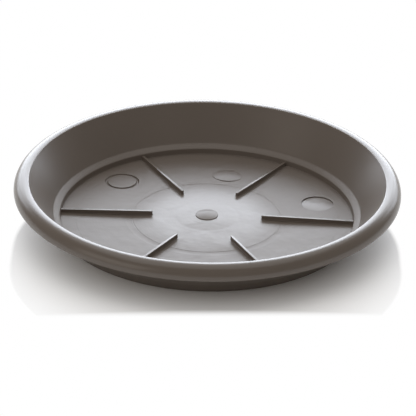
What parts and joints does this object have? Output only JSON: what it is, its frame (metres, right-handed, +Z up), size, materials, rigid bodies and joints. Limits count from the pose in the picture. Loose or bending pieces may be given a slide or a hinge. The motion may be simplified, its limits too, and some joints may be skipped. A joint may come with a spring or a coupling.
{
  "type": "plant saucer",
  "caption": "Round moulded plant saucer with a rolled rim, sloping side wall, stepped ledge and a crowned floor with radial ribs that hold a pot clear of drained water.",
  "frame": {"origin": "on the ground, under the middle of the saucer", "axes": "+Z up along the saucer's axis, +X along the first rib"},
  "size_m": [0.3, 0.3, 0.0365],
  "materials": {
    "moulded_plastic": "satin taupe-grey injection-moulded polypropylene"
  },
  "bodies": {
    "root": {"floor_panel": "moulded_plastic", "foot_ring": "moulded_plastic", "side_wall": "moulded_plastic", "rolled_rim": "moulded_plastic", "gate_boss": "moulded_plastic", "rib_1": "moulded_plastic", "rib_2": "moulded_plastic", "rib_3": "moulded_plastic", "rib_4": "moulded_plastic", "rib_5": "moulded_plastic", "rib_6": "moulded_plastic"}
  },
  "joints": []
}
